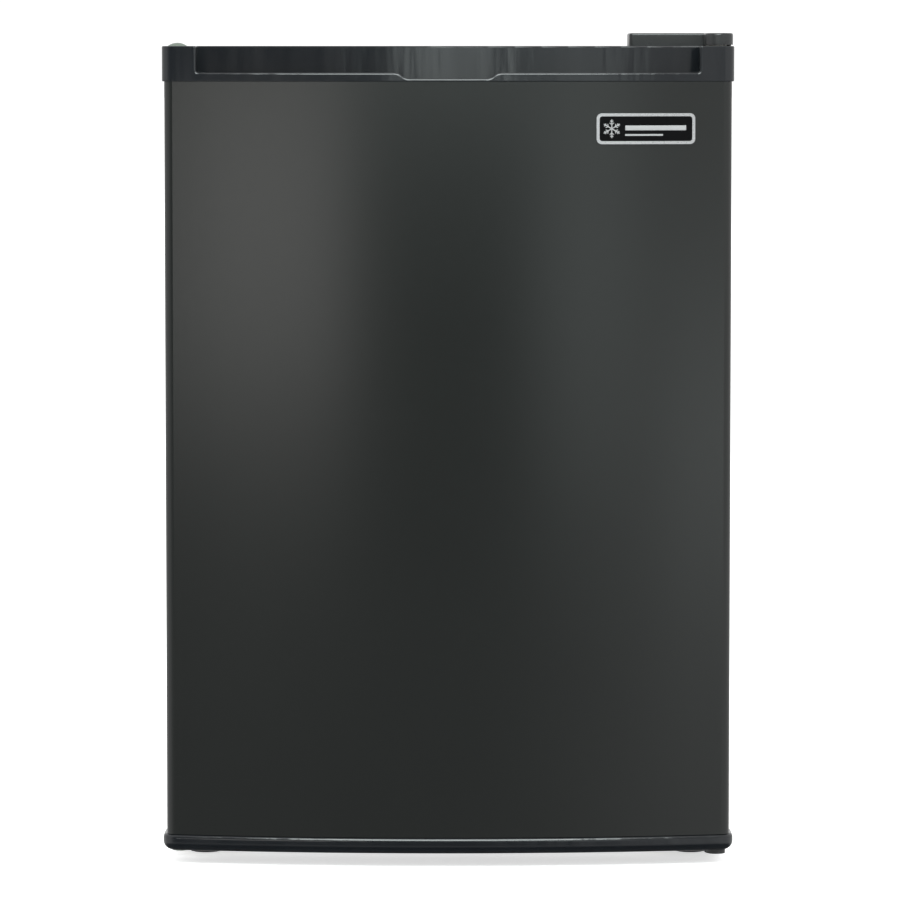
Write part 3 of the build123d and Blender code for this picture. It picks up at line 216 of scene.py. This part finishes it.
def cap_plastic():
    """Gloss black injection moulding with upright mould waves and a draft to its faces."""
    mat, tree, shader = new_material("cap_plastic")
    vector = coords(tree)
    across = coords(tree, (1, 0.4, 0.12))
    cloud = noise(tree, vector, per_metre=20.0)
    tone = mix(tree, cloud, (0.0026, 0.0036, 0.0048), (0.0042, 0.0053, 0.0068))
    tree.links.new(tone, shader.inputs["Base Color"])
    flow = noise(tree, across, per_metre=55.0, detail=2.5)
    tree.links.new(remap(tree, flow, 0.14, 0.20), shader.inputs["Roughness"])
    height = tree.nodes.new("ShaderNodeSeparateXYZ")
    tree.links.new(vector, height.inputs["Vector"])
    relief = tree.nodes.new("ShaderNodeMath")
    relief.operation = "MULTIPLY_ADD"
    relief.inputs[1].default_value = DRAFT / WAVE
    tree.links.new(height.outputs["Z"], relief.inputs[0])
    tree.links.new(flow, relief.inputs[2])
    bump(tree, shader, relief.outputs["Value"], strength=1.0, distance=WAVE)
    shader.inputs["IOR"].default_value = 1.52
    return mat


def cabinet_paint():
    """Textured black paint with an orange-peel relief."""
    mat, tree, shader = new_material("cabinet_paint")
    vector = coords(tree)
    cloud = noise(tree, vector, per_metre=6.0)
    tone = mix(tree, cloud, (0.0125, 0.013, 0.0135), (0.016, 0.0165, 0.017))
    tree.links.new(tone, shader.inputs["Base Color"])
    peel = noise(tree, vector, per_metre=420.0, detail=2.0)
    tree.links.new(remap(tree, peel, 0.40, 0.52), shader.inputs["Roughness"])
    bump(tree, shader, peel, strength=0.4, distance=0.3 * MM)
    return mat


def clear(name, color, rough, ior):
    """Clear or frosted see-through material with a faint drift in tint and polish."""
    mat, tree, shader = new_material(name)
    vector = coords(tree)
    cloud = noise(tree, vector, per_metre=12.0)
    tone = mix(tree, cloud, shade(color, 0.96), color)
    tree.links.new(tone, shader.inputs["Base Color"])
    polish = noise(tree, vector, per_metre=90.0, detail=4.0)
    tree.links.new(
        remap(tree, polish, rough * 0.7, rough * 1.3), shader.inputs["Roughness"]
    )
    shader.inputs["IOR"].default_value = ior
    shader.inputs["Transmission Weight"].default_value = 1.0
    return mat


DOOR_PAINT = door_paint()
CAP_PLASTIC = cap_plastic()
CABINET_PAINT = cabinet_paint()
ZINC = spangled_zinc()

# Name, colour, roughness, grain (features to a metre) and the depth of its relief in metres.
PLATED = metal("plated_steel", (0.60, 0.59, 0.55), 0.34, 500.0, 0.0001)
LINER = plastic("liner_white", (0.62, 0.63, 0.625), 0.38, 900.0, 0.00002, vary=0.01, drift=0.05)
WHITE = plastic("moulded_white", (0.57, 0.58, 0.575), 0.42, 700.0, 0.00004, vary=0.015)
BINS = clear("bin_plastic", (0.95, 0.97, 0.975), rough=0.08, ior=1.49)
GLASS = clear("shelf_glass", (0.86, 0.95, 0.92), rough=0.015, ior=1.52)
FOAM = plastic("rigid_foam", (0.78, 0.66, 0.38), 0.9, 900.0, 0.001, vary=0.15)
SEAL = plastic("seal_rubber", (0.045, 0.046, 0.048), 0.62, 800.0, 0.0003)
RUBBER = plastic("black_rubber", (0.022, 0.022, 0.023), 0.72, 600.0, 0.0004, vary=0.2)
NYLON = plastic("nylon", (0.42, 0.41, 0.38), 0.45, 600.0, 0.0002)
PLUG = plastic("plug_plastic", (0.09, 0.11, 0.09), 0.38, 500.0, 0.0002)
RIM = metal("plate_rim", (0.54, 0.54, 0.55), 0.3, 900.0, 0.00005, vary=0.04)
FIELD = plastic("plate_field", (0.0025, 0.0025, 0.0028), 0.3, 1200.0, 0.00003, ior=1.12)
ALUMINIUM = metal("evaporator_sheet", (0.74, 0.76, 0.78), 0.36, 350.0, 0.0002)
COPPER = metal("drawn_copper", (0.64, 0.33, 0.21), 0.32, 300.0, 0.0002, vary=0.22)
COATED = plastic("coated_tube", (0.05, 0.045, 0.04), 0.4, 500.0, 0.0003, vary=0.2)
ENAMEL = plastic("compressor_paint", (0.014, 0.014, 0.015), 0.3, 220.0, 0.0006, coat=0.2)
IRON = metal("machined_iron", (0.25, 0.25, 0.26), 0.5, 300.0, 0.0003, vary=0.2)
BLACK = plastic("moulded_black", (0.012, 0.013, 0.0135), 0.3, 500.0, 0.0002)
SILVER = plastic("emblem_silver", (0.22, 0.22, 0.225), 0.35, 900.0, 0.00002, vary=0.03)
INK = plastic("dial_marks", (0.035, 0.06, 0.12), 0.4, 900.0, 0.00002, vary=0.1)
DIAL = plastic("dial_plastic", (0.50, 0.51, 0.52), 0.36, 800.0, 0.0001, vary=0.03)

FINISHES = {
    DOOR_PAINT: ["door_skin"],
    CAP_PLASTIC: ["door_top_cap", "door_bottom_cap"],
    CABINET_PAINT: ["outer_shell", "bottom_hinge_plate"],
    ZINC: ["bottom_panel", "bay_panel", "back_panel", "base_plate"],
    PLATED: [
        "top_hinge_bracket",
        "hinge_pins",
        "hinge_screws",
        "back_screws",
        "foot_sockets",
        "compressor_springs",
        "compressor_bolts",
    ],
    LINER: ["door_liner", "inner_liner"],
    WHITE: [
        "shelf_trims",
        "evaporator_hangers",
        "ice_frame",
        "ice_flap",
        "tray_rails",
        "thermostat_housing",
        "sensor_clip",
    ],
    BINS: ["bottle_rack", "can_bin", "door_bin", "drip_tray"],
    GLASS: ["shelf_glass"],
    FOAM: ["door_foam", "cabinet_foam"],
    SEAL: ["door_gasket"],
    RUBBER: [
        "cord_gland",
        "rear_feet",
        "compressor_grommets",
        "front_foot_left",
        "front_foot_right",
    ],
    NYLON: ["hinge_bushes", "hinge_washers"],
    PLUG: ["socket_plugs"],
    RIM: ["badge_frame"],
    FIELD: ["badge_plate"],
    ALUMINIUM: ["evaporator"],
    COPPER: ["sensing_tube", "filter_drier", "capillary_tube", "suction_tube", "process_tube"],
    COATED: ["condenser_tube"],
    ENAMEL: ["compressor_lower_shell", "compressor_upper_shell", "compressor_feet"],
    IRON: ["compressor_motor_pump"],
    BLACK: ["hinge_cover", "roof_plugs", "terminal_cover", "start_relay", "thermostat_switch"],
    DIAL: ["thermostat_knob"],
}


def finish_frame():
    """Gives every carried-over CAD node its material."""
    for mat, names in FINISHES.items():
        for name in names:
            slots = NODES[name].data.materials
            slots.clear()
            slots.append(mat)


# ---------------------------------------------------------------- mesh helpers
def mesh_piece(name, bm, mat, body):
    """Turns a bmesh into a flat-faced piece that rides on a body."""
    bmesh.ops.recalc_face_normals(bm, faces=bm.faces)
    mesh = bpy.data.meshes.new(name)
    bm.to_mesh(mesh)
    bm.free()
    mesh.materials.append(mat)
    piece = bpy.data.objects.new(name, mesh)
    bpy.context.scene.collection.objects.link(piece)
    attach(piece, body)


def add_prism(bm, outlines):
    """Closed prism between two outlines of as many points, the back one first."""
    back, front = [[bm.verts.new(point) for point in outline] for outline in outlines]
    bm.faces.new(front)
    bm.faces.new(back[::-1])
    for j in range(len(back)):
        k = (j + 1) % len(back)
        bm.faces.new((back[j], back[k], front[k], front[j]))


def middle_of(node):
    """Middle of a node's box as seen from the front: across and up."""
    low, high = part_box(node)
    return Vector(((low.x + high.x) / 2, (low.z + high.z) / 2))


def ray(angle):
    """Unit vector across and up, at an angle in degrees from the right."""
    return Vector((math.cos(math.radians(angle)), math.sin(math.radians(angle))))


# ---------------------------------------------------------------- name plate
PLATE_PROUD = 1.05 * MM  # just inside the plate's face, ahead of the door's bow
RAISED = 0.35 * MM  # from there to the top of a bar
CREST = 0.62  # width of a bar's top as a share of its base
FLAKE_REACH = 7.2 * MM
FLAKE_MARGIN = 2.2 * MM
ARM_WIDTH = 0.95 * MM
BRANCH_WIDTH = 0.8 * MM
BRANCH_SPREAD = 52  # degrees from its arm
BRANCHES = ((0.45, 0.30), (0.72, 0.22))  # root and length, as shares of the arm
BARS_GAP = 3.0 * MM
BARS_MARGIN = 4.5 * MM
SHORT_BAR = 0.62  # length of the lower bar as a share of the upper


def strip_on_plate(bm, start, end, width, steps=1):
    """Flat bar with bevelled flanks and ends, laid along the plate's bow between two points."""
    start, end = Vector(start), Vector(end)
    along = (end - start).normalized()
    across = Vector((-along.y, along.x)) * width / 2
    pull = along * (width / 2) * (1 - CREST)
    sections = []
    for i in range(steps + 1):
        point = start.lerp(end, i / steps)
        crest = point
        if i == 0:
            crest = point + pull
        if i == steps:
            crest = point - pull
        section = []
        layers = ((point, 1.0, PLATE_PROUD), (crest, CREST, PLATE_PROUD + RAISED))
        for centre, share, level in layers:
            for side in (1, -1):
                flat = centre + across * share * side
                section.append(bm.verts.new((flat.x, door_front(flat.x, level), flat.y)))
        sections.append(section)
    ring = (0, 2, 3, 1)
    for near, far in zip(sections, sections[1:]):
        for j in range(4):
            k = (j + 1) % 4
            bm.faces.new((near[ring[j]], near[ring[k]], far[ring[k]], far[ring[j]]))
    for section in (sections[0], sections[-1]):
        bm.faces.new([section[j] for j in ring])


def make_emblem():
    """Raised six-armed snowflake and two plain bars on the door's name plate."""
    low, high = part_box("badge_plate")
    middle = middle_of("badge_plate")
    flake = Vector((low.x + FLAKE_REACH + FLAKE_MARGIN, middle.y))
    bm = bmesh.new()
    for i in range(6):
        angle = 90 + 60 * i
        arm = ray(angle) * FLAKE_REACH
        strip_on_plate(bm, flake, flake + arm, ARM_WIDTH)
        for share, reach in BRANCHES:
            root = flake + arm * share
            for turn in (-BRANCH_SPREAD, BRANCH_SPREAD):
                end = root + ray(angle + turn) * FLAKE_REACH * reach
                strip_on_plate(bm, root, end, BRANCH_WIDTH)
    mesh_piece("emblem_snowflake", bm, SILVER, "door")

    bm = bmesh.new()
    left = flake.x + FLAKE_REACH + BARS_GAP
    right = high.x - BARS_MARGIN
    short = left + (right - left) * SHORT_BAR
    for rise, thick, end in ((0.6 * MM, 4.2 * MM, right), (-4.8 * MM, 1.6 * MM, short)):
        z = middle.y + rise
        strip_on_plate(bm, (left, z), (end, z), thick, steps=16)
    mesh_piece("emblem_bars", bm, SILVER, "door")


# ---------------------------------------------------------------- thermostat dial
MARK_STEP = 40  # degrees of the knob's turn between two marks
MARKS = 8
MARK_START, MARK_END = 18.6 * MM, 22.2 * MM  # from the knob's axis
MARK_WIDTH, MARK_GROWTH = 1.1 * MM, 0.22 * MM  # the first mark, and what each next one adds
MARK_SUNK, MARK_PROUD = 0.05 * MM, 0.45 * MM
MARK_TOP = 0.7  # width of a mark's top as a share of its base
POINTER = ((-0.9, 5.0), (0.9, 5.0), (0.9, 13.0), (0.0, 14.2), (-0.9, 13.0))  # in mm, from the axis
POINTER_SUNK, POINTER_PROUD = 0.1 * MM, 0.25 * MM


def make_dial_marks():
    """Raised scale on the housing, from the knob's rest through its turn, and its pointer."""
    axis = middle_of("thermostat_knob")
    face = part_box("thermostat_housing")[0].y
    bm = bmesh.new()
    for i in range(MARKS):
        outward = ray(90 - MARK_STEP * i)
        side = Vector((-outward.y, outward.x)) * (MARK_WIDTH + MARK_GROWTH * i) / 2
        ends = ((MARK_START, 1), (MARK_END, 1), (MARK_END, -1), (MARK_START, -1))
        outlines = []
        for y, share in ((face + MARK_SUNK, 1.0), (face - MARK_PROUD, MARK_TOP)):
            flat = [axis + outward * reach + side * share * turn for reach, turn in ends]
            outlines.append([(point.x, y, point.y) for point in flat])
        add_prism(bm, outlines)
    mesh_piece("dial_scale", bm, INK, "cabinet")

    bm = bmesh.new()
    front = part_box("thermostat_knob")[0].y
    levels = (front + POINTER_SUNK, front - POINTER_PROUD)
    add_prism(bm, [[(axis.x + x * MM, y, axis.y + z * MM) for x, z in POINTER] for y in levels])
    mesh_piece("dial_pointer", bm, INK, "dial")


# ---------------------------------------------------------------- stage, camera, light
FLOOR_REACH = 60.0  # from its middle to each side
FLOOR_GLOW = 0.6
LIGHT_DISTANCE = 2.4  # from the door to the plane of the softboxes
CAMERA_DISTANCE = 4.0  # from the door
IMAGE_WIDTH = 900  # pixels
PIXELS_PER_METRE = 1300.0  # at the door
AIM_ASIDE, AIM_ABOVE = 1.5 * MM, 2.7 * MM  # from the middle of the box


def make_floor():
    """A wide pale floor that the door doesn't mirror."""
    bm = bmesh.new()
    bmesh.ops.create_grid(bm, x_segments=1, y_segments=1, size=FLOOR_REACH)
    mesh = bpy.data.meshes.new("floor")
    bm.to_mesh(mesh)
    bm.free()
    floor = bpy.data.objects.new("floor", mesh)
    bpy.context.scene.collection.objects.link(floor)
    mat, tree, shader = new_material("floor_paint")
    vector = coords(tree)
    cloud = noise(tree, vector, per_metre=3.0)
    tone = mix(tree, cloud, (0.93, 0.93, 0.93), (0.95, 0.95, 0.95))
    tree.links.new(tone, shader.inputs["Base Color"])
    shader.inputs["Roughness"].default_value = 0.9
    shader.inputs["Emission Color"].default_value = (1, 1, 1, 1)
    shader.inputs["Emission Strength"].default_value = FLOOR_GLOW
    mesh.materials.append(mat)
    floor.visible_glossy = False


def make_camera():
    """Long lens level with the door's top edge, aimed at the middle of the door."""
    low, high = CAD_BOX
    camera = bpy.data.objects.new("camera", bpy.data.cameras.new("camera"))
    bpy.context.scene.collection.objects.link(camera)
    camera.location = (0, low.y - CAMERA_DISTANCE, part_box("door_top_cap")[1].z)
    aim = Vector((AIM_ASIDE, low.y, (low.z + high.z) / 2 + AIM_ABOVE)) - camera.location
    camera.rotation_euler = aim.to_track_quat("-Z", "Y").to_euler()
    camera.data.sensor_width = 36.0
    view_width = IMAGE_WIDTH / PIXELS_PER_METRE  # in metres, at the door
    camera.data.lens = camera.data.sensor_width * CAMERA_DISTANCE / view_width
    camera.data.clip_end = 200.0
    bpy.context.scene.camera = camera


def softbox(name, place, aim, size, radiance, color):
    """Rectangular light of a given radiance and colour, aimed at a point."""
    data = bpy.data.lights.new(name, "AREA")
    data.shape = "RECTANGLE"
    data.size, data.size_y = size
    data.energy = radiance * size[0] * size[1] * math.pi
    data.color = color
    light = bpy.data.objects.new(name, data)
    light.location = place
    light.rotation_euler = (Vector(aim) - Vector(place)).to_track_quat("-Z", "Y").to_euler()
    light.visible_camera = False
    bpy.context.scene.collection.objects.link(light)


def front_softbox(name, x_range, z_range, radiance, color):
    """Upright softbox in front of the door, over a range across and a range up."""
    y = CAD_BOX[0].y - LIGHT_DISTANCE
    middle = Vector((sum(x_range) / 2, y, sum(z_range) / 2))
    size = (x_range[1] - x_range[0], z_range[1] - z_range[0])
    softbox(name, middle, middle + Vector((0, 1, 0)), size, radiance, color)


def make_lights():
    """A large box at the left, dimmer ones at the right, two between and one overhead."""
    warm, cool = (1.0, 0.99, 0.965), (0.92, 1.0, 0.985)
    # Each is given its range across, its range up, its radiance and its colour.
    front_softbox("left_softbox", (-1.3, -0.43), (0.2, 0.72), 2.3, warm)
    front_softbox("right_softbox", (0.38, 0.82), (0.12, 1.0), 1.1, cool)
    front_softbox("far_right_softbox", (0.95, 1.9), (0.0, 0.3), 1.2, cool)
    front_softbox("centre_softbox", (-0.2, 0.27), (0.78, 1.0), 3.0, cool)
    front_softbox("low_band", (-0.66, 0.42), (0.6, 0.68), 3.0, cool)
    place, aim, size = (0, -1.6, 2.0), (0, -0.2, 0.3), (1.2, 1.6)
    softbox("top_softbox", place, aim, size, 10.0, cool)


def make_world():
    """White surroundings, which gloss finds dark in front of the door and below it."""
    strength, beside_strength = 1.1, 0.95  # plain, and for gloss beside the door
    world = bpy.data.worlds.new("studio")
    bpy.context.scene.world = world
    world.use_nodes = True
    tree = world.node_tree
    background = tree.nodes["Background"]
    where = tree.nodes.new("ShaderNodeTexCoord")
    axes = tree.nodes.new("ShaderNodeSeparateXYZ")
    tree.links.new(where.outputs["Generated"], axes.inputs["Vector"])
    x, y, z = (axes.outputs[axis] for axis in "XYZ")

    # Ahead of the door it is dim low down and nearly black from just under the horizon up.
    ahead = remap(tree, z, 0.42, 0.03, start=-0.095, stop=-0.045)
    # It turns bright towards the right, and towards both sides and the rear.
    to_right = remap(tree, x, 0.0, 1.0, start=0.1, stop=0.5)
    to_rear = remap(tree, y, 0.0, 1.0, start=-0.9, stop=-0.35)
    around = tree.nodes.new("ShaderNodeMix")
    around.inputs["B"].default_value = beside_strength
    tree.links.new(ahead, around.inputs["A"])
    tree.links.new(combine(tree, "MAXIMUM", to_right, to_rear), around.inputs["Factor"])
    # Steeply below, it is dim all round.
    underfoot = remap(tree, z, 0.12, 1.0, start=-0.5, stop=-0.25)
    mirrored = combine(tree, "MULTIPLY", around.outputs["Result"], underfoot)

    path = tree.nodes.new("ShaderNodeLightPath")
    level = tree.nodes.new("ShaderNodeMix")
    level.inputs["A"].default_value = strength
    tree.links.new(mirrored, level.inputs["B"])
    tree.links.new(path.outputs["Is Glossy Ray"], level.inputs["Factor"])
    tree.links.new(level.outputs["Result"], background.inputs["Strength"])
    background.inputs["Color"].default_value = (1, 1, 1, 1)


def main():
    """Finishes the frame, adds the small pieces and sets up the studio."""
    finish_frame()
    make_emblem()
    make_dial_marks()
    make_floor()
    make_lights()
    make_world()
    make_camera()
    bpy.context.scene.view_settings.view_transform = "Standard"


main()
